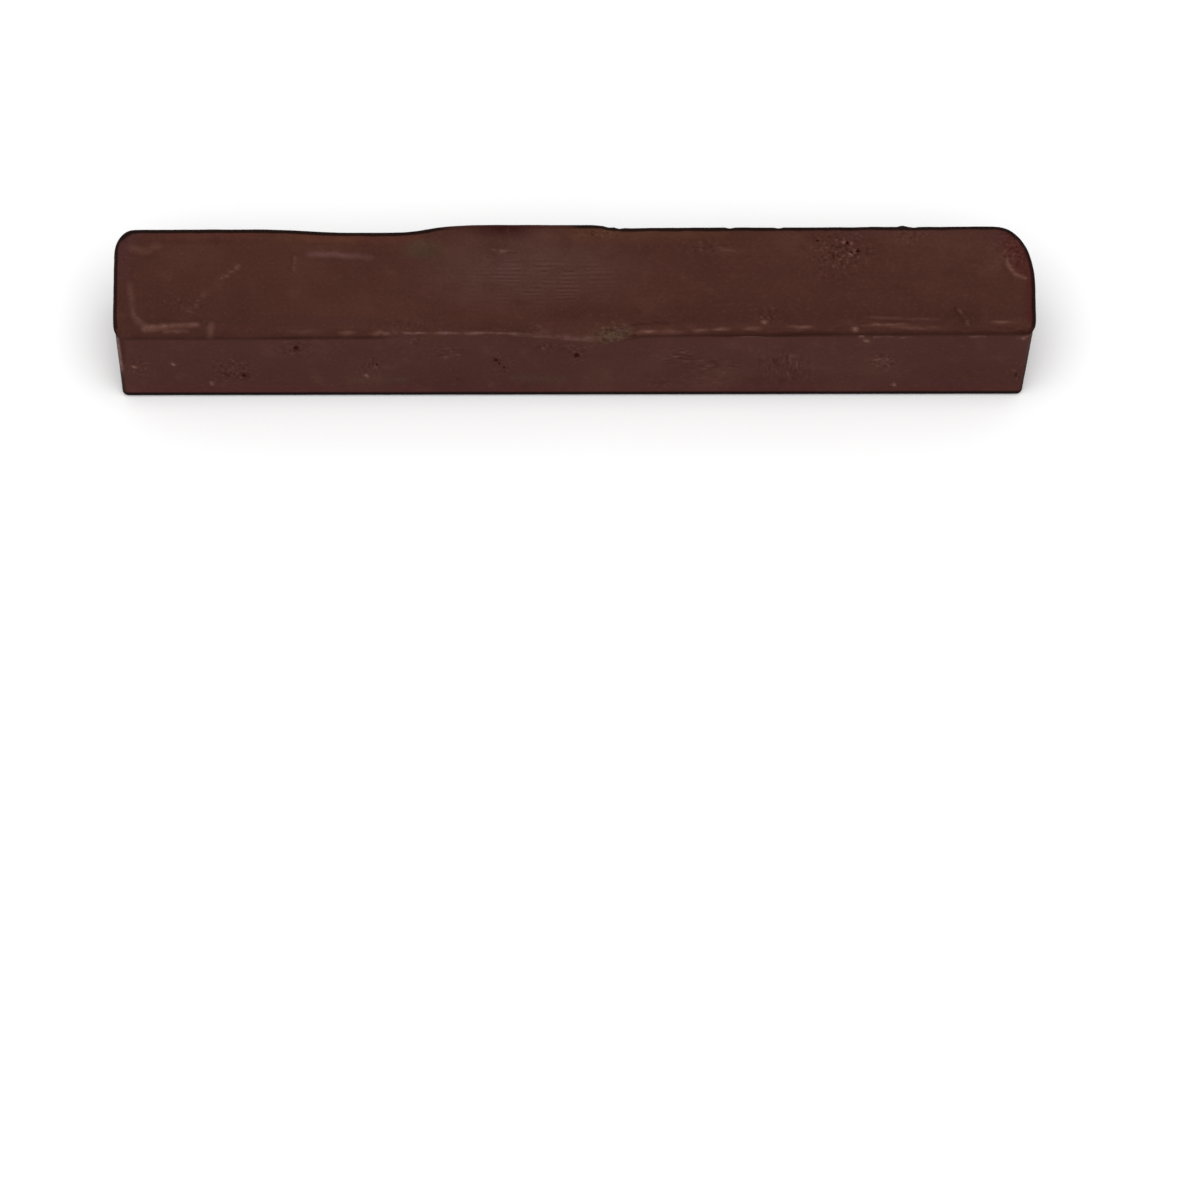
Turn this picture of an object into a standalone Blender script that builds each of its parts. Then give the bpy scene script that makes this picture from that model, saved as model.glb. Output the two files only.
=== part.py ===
"""A burn-in stick: one bar of hard filler wax, poured into an open mould and knocked out when cold.

The bar lies as it was poured, with its floor face down, its length along X and its front towards -Y.
The origin lies on the floor face, under the middle of the mould's mouth. Lengths are in metres.

The mould shapes the floor face and the four leaning walls. Above the mould's mouth the wax shaped itself:
a lip that crept over the mouth, a rounded shoulder, the crest of a rim, and a face that sank as it cooled.
"""

import math
from collections import namedtuple

import bmesh
import bpy
from mathutils import Vector

# The mould's cavity
MOUTH_LENGTH = 0.0820
MOUTH_WIDTH = 0.0122
WALL_HEIGHT = 0.0092
MOUTH_RISE = 0.0005
DRAFT_DEGREES = 3.5
RIGHT_END_DRAFT_DEGREES = 6.0
FLOOR_ROUND = 0.0004
FLOOR_CORNER = 0.0005

# Corners of the mouth, by their reach along the bar and across it: the two at the back melted rounder in use
FRONT_RIGHT_ALONG = 0.0007
FRONT_RIGHT_ACROSS = 0.0016
BACK_RIGHT_ALONG = 0.0033
BACK_RIGHT_ACROSS = 0.0062
BACK_LEFT_ALONG = 0.0017
BACK_LEFT_ACROSS = 0.0028
FRONT_LEFT_ALONG = 0.0007
FRONT_LEFT_ACROSS = 0.0020

# The poured cap, outwards from the mouth and upwards
CAP_HEIGHT = 0.0006
CREST_RISE = 0.0001
SIDE_LIP_REACH = 0.0001
END_LIP_REACH = 0.00015
LIP_RISE = 0.0002
SHOULDER_WIDTH = 0.0009
RIM_SLOPE_WIDTH = 0.0012
FACE_SINK = 0.0002
FACE_DISH = 0.0001

# The back of the rim: the wax drew back from the mould in one place and ran over it in the next
DRAWN_BACK_MIDDLE = -0.0182
DRAWN_BACK_HALF_LENGTH = 0.0105
DRAWN_BACK_REACH = -0.0004
OVERFLOW_MIDDLE = -0.0048
OVERFLOW_HALF_LENGTH = 0.0062
OVERFLOW_RAMP = 0.0038
OVERFLOW_REACH = 0.0004

# The front of the rim: a stretch of the brittle lip has broken away, and the break dips into the wall
BREAK_MIDDLE = -0.0070
BREAK_HALF_LENGTH = 0.0086
BREAK_RAMP = 0.0024
BREAK_SHOULDER_WIDTH = 0.0003
BREAK_DIP_MIDDLE = 0.0020
BREAK_DIP_LEFT_LENGTH = 0.0095
BREAK_DIP_RIGHT_LENGTH = 0.0044
BREAK_DIP_DEPTH = 0.0013

# How finely the curves are divided
SIDE_STEPS = 64
END_STEPS = 6
CORNER_STEPS = 6
FLOOR_ROUND_STEPS = 3
LIP_STEPS = 3
SHOULDER_STEPS = 4
RIM_SLOPE_STEPS = 3
FACE_STEPS = 3
LEAST_CORNER = 0.0003
WELD_DISTANCE = 0.000001
SHARP_EDGE_DEGREES = 40

WAX_COLOUR = (0.068, 0.025, 0.019, 1.0)
WAX_ROUGHNESS = 0.5

MOUTH_CORNERS = (
    (FRONT_RIGHT_ALONG, FRONT_RIGHT_ACROSS),
    (BACK_RIGHT_ALONG, BACK_RIGHT_ACROSS),
    (BACK_LEFT_ALONG, BACK_LEFT_ACROSS),
    (FRONT_LEFT_ALONG, FRONT_LEFT_ACROSS),
)
WALL_LEAN = WALL_HEIGHT * math.tan(math.radians(DRAFT_DEGREES))
RIGHT_END_LEAN = WALL_HEIGHT * math.tan(math.radians(RIGHT_END_DRAFT_DEGREES))
FLOOR_LEFT = -MOUTH_LENGTH / 2 + WALL_LEAN
FLOOR_RIGHT = MOUTH_LENGTH / 2 - RIGHT_END_LEAN
FLOOR_WIDTH = MOUTH_WIDTH - 2 * WALL_LEAN

# One step of the cap's section. Inset moves the whole ring in, and height is measured from the mouth.
# The shares say how much of the lip's reach, of a sharper shoulder and of a dip the step takes.
Step = namedtuple("Step", "inset height reach_share sharper_share dip_share")


def clear_scene():
    for thing in list(bpy.data.objects):
        bpy.data.objects.remove(thing)


def smooth(share):
    """Runs from 0 to 1 with no kink at either end."""
    share = min(max(share, 0.0), 1.0)
    return share * share * (3 - 2 * share)


def stretch(x, middle, half_length, ramp):
    """1 along a stretch of the bar, running out to 0 over a ramp at each end."""
    return smooth((half_length + ramp - abs(x - middle)) / ramp)


def fitted(corners, length, width):
    """The corners' reaches, none too small to draw and none too large for the sides they share."""
    along = [max(corner[0], LEAST_CORNER) for corner in corners]
    across = [max(corner[1], LEAST_CORNER) for corner in corners]
    room_along = length - 2 * LEAST_CORNER
    room_across = width - 2 * LEAST_CORNER
    front, back = along[0] + along[3], along[1] + along[2]
    right, left = across[0] + across[1], across[2] + across[3]
    shrink_along = min(1, room_along / max(front, back))
    shrink_across = min(1, room_across / max(right, left))
    return [(a * shrink_along, b * shrink_across) for a, b in zip(along, across)]


def outline(left, right, width, corners):
    """A rectangle with an elliptical corner of its own at each corner, anticlockwise from the front right.

    Gives a list of (point, outward direction), with as many entries whatever the sizes are.
    """
    sides = ((right, -width / 2), (right, width / 2), (left, width / 2), (left, -width / 2))
    signs = ((1, -1), (1, 1), (-1, 1), (-1, -1))
    side_steps = (END_STEPS, SIDE_STEPS, END_STEPS, SIDE_STEPS)
    arcs = []
    reaches = fitted(corners, right - left, width)
    for quarter, ((x, y), (sign_x, sign_y), (along, across)) in enumerate(zip(sides, signs, reaches)):
        centre = Vector((x - sign_x * along, y - sign_y * across))
        arc = []
        for step in range(CORNER_STEPS + 1):
            angle = math.radians(90) * (quarter - 1 + step / CORNER_STEPS)
            point = centre + Vector((along * math.cos(angle), across * math.sin(angle)))
            direction = Vector((across * math.cos(angle), along * math.sin(angle))).normalized()
            arc.append((point, direction))
        arcs.append(arc)
    points = []
    for quarter, arc in enumerate(arcs):
        points += arc
        (start, direction), (end, _) = arc[-1], arcs[(quarter + 1) % 4][0]
        for step in range(1, side_steps[quarter]):
            points.append((start.lerp(end, step / side_steps[quarter]), direction))
    return points


def mouth_outline(inset):
    """The mould's mouth, or a ring that lies inside it by an even inset."""
    half_length = MOUTH_LENGTH / 2 - inset
    corners = [(along - inset, across - inset) for along, across in MOUTH_CORNERS]
    return outline(-half_length, half_length, MOUTH_WIDTH - 2 * inset, corners)


def floor_rings():
    """The rounded edge of the floor face, from the floor up to the start of the walls."""
    turn = math.radians(90 - DRAFT_DEGREES)
    inset = FLOOR_ROUND * math.tan(turn / 2)
    rings = []
    for step in range(FLOOR_ROUND_STEPS + 1):
        angle = turn * step / FLOOR_ROUND_STEPS
        out = FLOOR_ROUND * math.sin(angle) - inset
        height = FLOOR_ROUND * (1 - math.cos(angle))
        corners = 4 * [(FLOOR_CORNER + out, FLOOR_CORNER + out)]
        ring = outline(FLOOR_LEFT - out, FLOOR_RIGHT + out, FLOOR_WIDTH + 2 * out, corners)
        rings.append([Vector((point.x, point.y, height)) for point, _ in ring])
    return rings


def broken(point, direction):
    """1 where the lip has broken off the front of the rim."""
    facing_front = max(-direction.y, 0)
    return facing_front * stretch(point.x, BREAK_MIDDLE, BREAK_HALF_LENGTH, BREAK_RAMP)


def dipped(point, direction):
    """1 at the lowest point of the break, which falls slowly from the left and rises steeply to the right."""
    facing_front = max(-direction.y, 0)
    length = BREAK_DIP_LEFT_LENGTH if point.x < BREAK_DIP_MIDDLE else BREAK_DIP_RIGHT_LENGTH
    return facing_front * stretch(point.x, BREAK_DIP_MIDDLE, 0, length)


def mouth_height(x):
    """The walls are a little taller at the right end than at the left."""
    return WALL_HEIGHT + MOUTH_RISE * x / MOUTH_LENGTH


def crest_height(x):
    """The rim lies more nearly level than the mouth, so the cap is thinner at the right end."""
    return WALL_HEIGHT + CAP_HEIGHT + CREST_RISE * x / MOUTH_LENGTH


def lip_reach(point, direction):
    """How far the lip stands out past the mouth at one place on the rim."""
    facing_back = max(direction.y, 0)
    drawn_back = stretch(point.x, DRAWN_BACK_MIDDLE, 0, DRAWN_BACK_HALF_LENGTH)
    overflow = stretch(point.x, OVERFLOW_MIDDLE, OVERFLOW_HALF_LENGTH, OVERFLOW_RAMP)
    even_reach = SIDE_LIP_REACH * abs(direction.y) + END_LIP_REACH * abs(direction.x)
    back_run = DRAWN_BACK_REACH * drawn_back + OVERFLOW_REACH * overflow
    return (even_reach + facing_back * back_run) * (1 - broken(point, direction))


def cap_section():
    """The cap in section: the underside of the lip, the shoulder up to the crest, and the slope to the face."""
    steps = []
    for step in range(LIP_STEPS + 1):
        angle = math.radians(90) * step / LIP_STEPS
        steps.append(Step(0, LIP_RISE * (1 - math.cos(angle)), math.sin(angle), 0, 1))
    for step in range(1, SHOULDER_STEPS + 1):
        angle = math.radians(90) * step / SHOULDER_STEPS
        share = 1 - math.cos(angle)
        height = LIP_RISE + (CAP_HEIGHT - LIP_RISE) * math.sin(angle)
        steps.append(Step(SHOULDER_WIDTH * share, height, 1, share, 1))
    for step in range(1, RIM_SLOPE_STEPS + 1):
        share = step / RIM_SLOPE_STEPS
        height = CAP_HEIGHT - FACE_SINK * smooth(share)
        inset = SHOULDER_WIDTH + RIM_SLOPE_WIDTH * share
        steps.append(Step(inset, height, 1 - share, 1 - share, 1 - smooth(share)))
    return steps


def cap_rings():
    """The mouth of the mould, then the lip, the shoulder and the slope down to the poured face."""
    mouth = mouth_outline(0)
    rings = []
    for step in cap_section():
        ring = []
        for (point, direction), (at_mouth, _) in zip(mouth_outline(step.inset), mouth):
            sharper = (SHOULDER_WIDTH - BREAK_SHOULDER_WIDTH) * broken(at_mouth, direction)
            out = step.reach_share * lip_reach(at_mouth, direction) + step.sharper_share * sharper
            place = (point + out * direction).to_3d()
            dip = BREAK_DIP_DEPTH * step.dip_share * dipped(at_mouth, direction)
            bottom, top = mouth_height(at_mouth.x), crest_height(at_mouth.x)
            place.z = bottom + (top - bottom) * step.height / CAP_HEIGHT - dip
            ring.append(place)
        rings.append(ring)
    return rings


def spine():
    """The line along the middle of the face that its rings close on, with one point for each on a ring."""
    half_length = (MOUTH_LENGTH - MOUTH_WIDTH) / 2
    end_points = 2 * (CORNER_STEPS + 1) + END_STEPS - 1
    to_the_left = [half_length * (1 - 2 * step / SIDE_STEPS) for step in range(1, SIDE_STEPS)]
    to_the_right = [-x for x in to_the_left]
    return end_points * [half_length] + to_the_left + end_points * [-half_length] + to_the_right


def face_rings(edge):
    """The poured face, from the foot of the rim's slope in to the spine, and a little lower towards it."""
    rings = []
    for step in range(1, FACE_STEPS + 1):
        share = step / FACE_STEPS
        ring = []
        for place, x in zip(edge, spine()):
            middle = Vector((x, 0, crest_height(x) - FACE_SINK - FACE_DISH))
            inner = place.lerp(middle, share)
            inner.z = place.z + (middle.z - place.z) * smooth(share)
            ring.append(inner)
        rings.append(ring)
    return rings


def loft(rings):
    """One closed mesh through the rings: the first is filled, and the last has closed on its spine."""
    work = bmesh.new()
    loops = [[work.verts.new(place) for place in ring] for ring in rings]
    work.faces.new(reversed(loops[0]))
    for below, above in zip(loops, loops[1:]):
        for index in range(len(below)):
            following = (index + 1) % len(below)
            work.faces.new((below[index], below[following], above[following], above[index]))
    bmesh.ops.remove_doubles(work, verts=work.verts, dist=WELD_DISTANCE)
    bmesh.ops.recalc_face_normals(work, faces=work.faces)
    mesh = bpy.data.meshes.new("burn_in_stick")
    work.to_mesh(mesh)
    work.free()
    return mesh


def wax():
    material = bpy.data.materials.new("filler_wax")
    material.use_nodes = True
    shader = material.node_tree.nodes["Principled BSDF"]
    shader.inputs["Base Color"].default_value = WAX_COLOUR
    shader.inputs["Roughness"].default_value = WAX_ROUGHNESS
    shader.inputs["Metallic"].default_value = 0.0
    material.diffuse_color = WAX_COLOUR
    return material


def burn_in_stick():
    cap = cap_rings()
    mesh = loft(floor_rings() + cap + face_rings(cap[-1]))
    mesh.materials.append(wax())
    mesh.shade_smooth()
    mesh.set_sharp_from_angle(angle=math.radians(SHARP_EDGE_DEGREES))
    stick = bpy.data.objects.new("burn_in_stick", mesh)
    bpy.context.scene.collection.objects.link(stick)
    return stick


clear_scene()
burn_in_stick()
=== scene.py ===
# %% [markdown]
# A burn-in stick is a small bar of hard coloured wax, poured into an open mould and knocked out when cold.
# A hot knife melts its end into a dent in wood. The measured solid is loaded first as a fixed frame.
# Every length below is in its units and its place, so nothing has to be fitted afterwards.

# %% Load the measured solid
import math
import random
from collections import namedtuple

import bmesh
import bpy
import numpy as np
from mathutils import Matrix, Vector, noise as cloud


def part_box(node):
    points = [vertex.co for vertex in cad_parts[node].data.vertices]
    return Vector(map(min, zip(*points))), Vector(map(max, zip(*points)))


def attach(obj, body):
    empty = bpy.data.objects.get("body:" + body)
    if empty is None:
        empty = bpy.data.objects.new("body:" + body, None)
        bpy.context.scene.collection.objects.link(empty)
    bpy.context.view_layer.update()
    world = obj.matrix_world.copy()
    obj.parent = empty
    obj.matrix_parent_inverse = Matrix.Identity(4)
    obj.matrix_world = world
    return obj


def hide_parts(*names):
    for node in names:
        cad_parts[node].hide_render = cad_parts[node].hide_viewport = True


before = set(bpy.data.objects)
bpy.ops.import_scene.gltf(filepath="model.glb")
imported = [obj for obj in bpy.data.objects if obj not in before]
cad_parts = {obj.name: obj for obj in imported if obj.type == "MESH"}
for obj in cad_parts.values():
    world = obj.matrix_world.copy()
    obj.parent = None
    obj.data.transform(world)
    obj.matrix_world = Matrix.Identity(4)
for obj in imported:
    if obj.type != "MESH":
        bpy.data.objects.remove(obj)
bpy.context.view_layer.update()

MM = 0.001
low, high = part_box("burn_in_stick")
print("the solid, in mm:", [round(side / MM, 2) for side in high - low])

# %% [markdown]
# The photograph looks down on the bar at about 51 degrees, from so far off that lines hardly converge.
# A long lens far away gives that. The camera could be moved about by eye until the outline fits.
# Here it is worked out instead: the pixel that the bar's middle falls on says how far to slide it.
# The bar lies above the middle of the picture, so the camera itself points down one degree more.

# %% Place the camera
PHOTO_PIXELS = 1200
MIDDLE_PIXEL_X = 574.4
MIDDLE_PIXEL_Y = 314.6
MIDDLE_HEIGHT = 4.8 * MM
PIXEL_LENGTH = 0.0894 * MM
CAMERA_DISTANCE = 1.6
CAMERA_ELEVATION = math.radians(52.1)
CAMERA_ROLL = math.radians(-0.1)
SENSOR_WIDTH = 36.0

tilt = Matrix.Rotation(math.radians(90) - CAMERA_ELEVATION, 3, "X")
aim = tilt @ Matrix.Rotation(CAMERA_ROLL, 3, "Z")
rightward, upward, backward = aim.col
bar_middle = Vector((0, 0, MIDDLE_HEIGHT))
slide_right = (PHOTO_PIXELS / 2 - MIDDLE_PIXEL_X) * PIXEL_LENGTH
slide_up = (MIDDLE_PIXEL_Y - PHOTO_PIXELS / 2) * PIXEL_LENGTH
spot = bar_middle + backward * CAMERA_DISTANCE + rightward * slide_right + upward * slide_up

bpy.ops.object.select_all(action="DESELECT")
bpy.ops.object.camera_add(location=spot, rotation=aim.to_euler())
camera = bpy.context.object
camera.data.sensor_width = SENSOR_WIDTH
camera.data.lens = SENSOR_WIDTH * CAMERA_DISTANCE / (PHOTO_PIXELS * PIXEL_LENGTH)
camera.data.clip_end = 20
bpy.context.scene.camera = camera
print("lens, in mm:", round(camera.data.lens))

# %% [markdown]
# A mouse picks points by clicking. A script picks them by where they are.
# These helpers take a test of x, y and z, select every point that passes it, and leave edit mode on.
# Blender then selects the edges and faces whose points are all selected, as it does for a mouse.

# %% Helpers for selecting
def places():
    """Where the active mesh's points are: a row of x, a row of y and a row of z."""
    mesh = bpy.context.object.data
    flat = np.empty(3 * len(mesh.vertices))
    mesh.vertices.foreach_get("co", flat)
    return flat.reshape(-1, 3).T


def select(test):
    """Selects the points that pass a test of x, y and z, and gives how many there are."""
    bpy.ops.object.mode_set(mode="OBJECT")
    mesh = bpy.context.object.data
    chosen = test(*places())
    mesh.polygons.foreach_set("select", np.zeros(len(mesh.polygons), dtype=bool))
    mesh.edges.foreach_set("select", np.zeros(len(mesh.edges), dtype=bool))
    mesh.vertices.foreach_set("select", chosen)
    bpy.ops.object.mode_set(mode="EDIT")
    bpy.ops.mesh.select_mode(type="VERT")
    return int(chosen.sum())


def scale_about(centre, along=1.0, across=1.0, upwards=1.0, **falloff):
    """Scales what is selected away from a fixed point."""
    bpy.ops.transform.resize(value=(along, across, upwards), center_override=centre, **falloff)


# %% [markdown]
# The bar is widest where the wax met the open mouth of the mould, so its outline starts there.
# It is a rectangle whose corners are unlike: the two at the back have melted rounder.
# A plane gets four equal rounded corners from one bevel. Each is then stretched from its own sharp point.
# Drawing four different arcs by hand would take longer and fit no better.

# %% Draw the outline of the mouth
END_LIP_REACH = 0.15 * MM
SIDE_LIP_REACH = 0.10 * MM
MOUTH_HEIGHT = 9.2 * MM
CORNER = 1.0 * MM
CORNER_STEPS = 6
TOUCH = 0.001 * MM
half_length = high.x - END_LIP_REACH
half_width = -low.y - SIDE_LIP_REACH

bpy.ops.object.select_all(action="DESELECT")
bpy.ops.mesh.primitive_plane_add(size=1, location=(0, 0, MOUTH_HEIGHT))
stick = bpy.context.object
stick.name = "cast_stick"
scale_about((0, 0, MOUTH_HEIGHT), along=2 * half_length, across=2 * half_width)
bpy.ops.object.transform_apply(location=True, rotation=True, scale=True)
bpy.ops.object.mode_set(mode="EDIT")
bpy.ops.mesh.select_all(action="SELECT")
bpy.ops.mesh.bevel(offset_type="OFFSET", offset=CORNER, segments=CORNER_STEPS, affect="VERTICES")

# Which corner, as signs of x and y, and its reach along the bar and across it
FRONT_RIGHT = (1, -1, 0.7 * MM, 1.6 * MM)
BACK_RIGHT = (1, 1, 3.3 * MM, 6.2 * MM)
BACK_LEFT = (-1, 1, 1.7 * MM, 2.8 * MM)
FRONT_LEFT = (-1, -1, 0.7 * MM, 2.0 * MM)
MOUTH_CORNERS = (FRONT_RIGHT, BACK_RIGHT, BACK_LEFT, FRONT_LEFT)


def reshape_corner(sharp, old_reach, new_reach):
    """Stretches one rounded corner from its sharp point, so that it still meets both sides."""
    def in_corner(x, y, z):
        near_x = np.abs(x - sharp[0]) < old_reach[0] + TOUCH
        near_y = np.abs(y - sharp[1]) < old_reach[1] + TOUCH
        return near_x & near_y & (np.abs(z - sharp[2]) < TOUCH)
    select(in_corner)
    scale_about(sharp, along=new_reach[0] / old_reach[0], across=new_reach[1] / old_reach[1])


for side_x, side_y, along, across in MOUTH_CORNERS:
    sharp_point = (side_x * half_length, side_y * half_width, MOUTH_HEIGHT)
    reshape_corner(sharp_point, (CORNER, CORNER), (along, across))
print("corners reshaped:", len(MOUTH_CORNERS))

# %% [markdown]
# A long side with no points between its ends can't bend, and the poured edge of this bar is nowhere straight.
# Subdividing each side gives the later steps points to move. The ends are short, so they need only a few.

# %% Divide its straight sides
SIDE_STEPS = 80
END_STEPS = 6
STRAIGHT_SIDES = (
    (lambda x, y, z: y < TOUCH - half_width, SIDE_STEPS),
    (lambda x, y, z: y > half_width - TOUCH, SIDE_STEPS),
    (lambda x, y, z: x < TOUCH - half_length, END_STEPS),
    (lambda x, y, z: x > half_length - TOUCH, END_STEPS),
)
for on_side, steps in STRAIGHT_SIDES:
    select(on_side)
    bpy.ops.mesh.subdivide(number_cuts=steps - 1)
bpy.ops.object.mode_set(mode="OBJECT")
print("points round the mouth:", len(stick.data.vertices))

# %% [markdown]
# The mould leans outwards, so that the cold bar can be knocked out, and its right end leans the most.
# The outline is extruded down once, drawn in for the lean, and its corners are made small and alike.
# Two shorter extrusions round the edge of the floor, which stays dead flat.

# %% Extrude the walls
WALL_DRAFT = math.radians(3.5)
RIGHT_END_DRAFT = math.radians(6.0)
WALL_LEAN = MOUTH_HEIGHT * math.tan(WALL_DRAFT)
RIGHT_END_LEAN = MOUTH_HEIGHT * math.tan(RIGHT_END_DRAFT)
FLOOR_ROUND = 0.4 * MM
FLOOR_CORNER = 0.5 * MM


def extrude(rise):
    """Pulls the selected face out along z, with new walls behind it."""
    bpy.ops.mesh.extrude_region_move(TRANSFORM_OT_translate={"value": (0, 0, rise)})


bpy.ops.object.mode_set(mode="EDIT")
bpy.ops.mesh.select_all(action="SELECT")
extrude(FLOOR_ROUND - MOUTH_HEIGHT)
mean_end_lean = (WALL_LEAN + RIGHT_END_LEAN) / 2
drawn_along = 1 - mean_end_lean / half_length
drawn_across = 1 - WALL_LEAN / half_width
scale_about((0, 0, FLOOR_ROUND), along=drawn_along, across=drawn_across)
floor_shift = (WALL_LEAN - RIGHT_END_LEAN) / 2
bpy.ops.transform.translate(value=(floor_shift, 0, 0))
for side_x, side_y, along, across in MOUTH_CORNERS:
    sharp_x = floor_shift + side_x * half_length * drawn_along
    sharp_point = (sharp_x, side_y * half_width * drawn_across, FLOOR_ROUND)
    reach = (along * drawn_along, across * drawn_across)
    reshape_corner(sharp_point, reach, (FLOOR_CORNER, FLOOR_CORNER))
print("walls and right end lean, in mm:", round(WALL_LEAN / MM, 2), round(RIGHT_END_LEAN / MM, 2))

# %% Round the edge of the floor
EDGE_HEIGHT = 0.12 * MM
EDGE_INSET = 0.10 * MM
FLOOR_INSET = 0.40 * MM


def inset_ring(inset):
    """Draws the selected ring in by an even distance, measured on the bar's sides."""
    centre = (floor_shift, 0, 0)
    scale_about(centre, along=1 - inset / half_length, across=1 - inset / half_width)


select(lambda x, y, z: z < FLOOR_ROUND + TOUCH)
extrude(EDGE_HEIGHT - FLOOR_ROUND)
inset_ring(EDGE_INSET)
extrude(-EDGE_HEIGHT)
inset_ring(FLOOR_INSET - EDGE_INSET)
print("rounding of the floor's edge, in mm:", round(FLOOR_ROUND / MM, 2))

# %% [markdown]
# The mouth isn't level: the walls are half a millimetre taller at the right end, so its face is tilted.
# The long upright edges are then cut into equal lengths, which gives rings that lean and tilt with them.
# Two more cuts close to the mouth and the floor will keep those edges crisp when the mesh is smoothed.

# %% Tilt the mouth and cut the walls
MOUTH_RISE = 0.5 * MM
CREST_RISE = 0.1 * MM
MOUTH_TILT = math.atan(MOUTH_RISE / (2 * half_length))
CREST_TILT = math.atan(CREST_RISE / (2 * half_length))
WALL_CUTS = 5
CRISP_BELOW_MOUTH = 0.22 * MM
CRISP_ABOVE_FLOOR = 0.8 * MM


def turn_about_y(angle):
    """Lifts the right end of what is selected. With no window, the operator turns the other way round."""
    bpy.ops.transform.rotate(value=angle, orient_axis="Y", center_override=(0, 0, MOUTH_HEIGHT))


select(lambda x, y, z: z > MOUTH_HEIGHT - TOUCH)
turn_about_y(MOUTH_TILT)
bpy.ops.mesh.select_mode(type="EDGE")
bpy.ops.mesh.select_all(action="DESELECT")
bpy.ops.object.mode_set(mode="OBJECT")
rises = places()[2]
print("right end of the mouth, in mm:", round(rises.max() / MM, 2))
for edge in stick.data.edges:
    start, end = edge.vertices
    edge.select = bool(abs(rises[start] - rises[end]) > MOUTH_HEIGHT / 2)
bpy.ops.object.mode_set(mode="EDIT")
bpy.ops.mesh.subdivide(number_cuts=WALL_CUTS)

level_normal = (-math.sin(MOUTH_TILT), 0, math.cos(MOUTH_TILT))
for height, normal in ((MOUTH_HEIGHT - CRISP_BELOW_MOUTH, level_normal), (CRISP_ABOVE_FLOOR, (0, 0, 1))):
    bpy.ops.mesh.select_all(action="SELECT")
    bpy.ops.mesh.bisect(plane_co=(0, 0, height), plane_no=normal)
bpy.ops.object.mode_set(mode="OBJECT")
print("faces in the walls:", len(stick.data.polygons))

# %% [markdown]
# Above the mouth the wax shaped itself: a lip that crept over, a rounded shoulder, the crest of a rim
# and a face that sank as it cooled. A turned or swept section can't follow unlike corners.
# So the cap is extruded ring by ring, and each ring is drawn in a little more than the last.

# %% Extrude the cap ring by ring
CAP_HEIGHT = 0.60 * MM
# Height above the mouth, and inset from the lip's outermost line
CAP_RINGS = (
    (0.05 * MM, 0.03 * MM),
    (0.20 * MM, 0.00 * MM),
    (0.38 * MM, 0.06 * MM),
    (0.53 * MM, 0.30 * MM),
    (0.60 * MM, 0.80 * MM),
    (0.57 * MM, 1.30 * MM),
    (0.46 * MM, 1.80 * MM),
    (0.40 * MM, 2.30 * MM),
)


def on_mouth(x, y, z):
    """True for the points of the mouth's face, wherever it is tilted to."""
    return z > MOUTH_HEIGHT + x * math.tan(MOUTH_TILT) - TOUCH


select(on_mouth)
ring_length, ring_width, ring_rise, ring_tilt = half_length, half_width, 0.0, MOUTH_TILT
for rise, inset in CAP_RINGS:
    extrude(rise - ring_rise)
    new_length, new_width = high.x - inset, -low.y - inset
    centre = (0, 0, MOUTH_HEIGHT + rise)
    scale_about(centre, along=new_length / ring_length, across=new_width / ring_width)
    new_tilt = MOUTH_TILT + (CREST_TILT - MOUTH_TILT) * min(rise / CAP_HEIGHT, 1)
    turn_about_y(new_tilt - ring_tilt)
    ring_length, ring_width, ring_rise, ring_tilt = new_length, new_width, rise, new_tilt
print("rings in the cap:", len(CAP_RINGS))

# %% [markdown]
# Both ends of the loft are still one large face each. A fan of triangles would shade badly on wax.
# A grid fill lays even rows of four-sided faces across instead. It needs to know where a corner is,
# which is the active point, the one that a hand would click last.

# %% Fill both faces with a grid
GRID_SPAN = SIDE_STEPS + CORNER_STEPS


def fill_selected_face(side_x, side_y, along, across):
    """Swaps the one selected face for a grid of faces that starts at the middle of one rounded corner."""
    bpy.ops.mesh.delete(type="ONLY_FACE")
    bpy.ops.mesh.select_mode(type="EDGE")
    bpy.ops.mesh.select_non_manifold(extend=False)
    work = bmesh.from_edit_mesh(stick.data)
    ring = [point for point in work.verts if point.select]
    weight_x = side_x * half_length / (along * max(point.co.x for point in ring))
    weight_y = side_y * half_width / (across * max(point.co.y for point in ring))
    corner = max(ring, key=lambda point: weight_x * point.co.x + weight_y * point.co.y)
    work.select_history.clear()
    work.select_history.add(corner)
    bmesh.update_edit_mesh(stick.data)
    bpy.ops.mesh.fill_grid(span=GRID_SPAN, offset=0)


fill_selected_face(*FRONT_RIGHT)
select(lambda x, y, z: z < TOUCH)
fill_selected_face(1, -1, FLOOR_CORNER, FLOOR_CORNER)
bpy.ops.mesh.select_all(action="SELECT")
bpy.ops.mesh.normals_make_consistent(inside=False)
bpy.ops.object.mode_set(mode="OBJECT")
print("faces before smoothing:", len(stick.data.polygons))

# %% [markdown]
# No pour is even. At the back the wax drew away from the mould in one place and ran over it in the next.
# At the front a stretch of the thin lip has broken off, and the break dips into the wall.
# Sculpting would do this by eye. Moving a few points with a soft falloff is easier to repeat exactly.

# %% Helpers for pushing
SOFT = {
    "use_proportional_edit": True,
    "proportional_edit_falloff": "SMOOTH",
    "use_proportional_connected": True,
}
SHOULDER = 1.0 * MM
JUST_ABOVE = 0.02 * MM


def pull(test, move, reach):
    """Moves what passes the test, and whatever lies within reach of it by less and less."""
    count = select(test)
    bpy.ops.transform.translate(value=move, proportional_size=reach, **SOFT)
    return count


def above_mouth(x, z):
    """How far points lie above the mouth of the mould."""
    return z - MOUTH_HEIGHT - x * math.tan(MOUTH_TILT)


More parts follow.
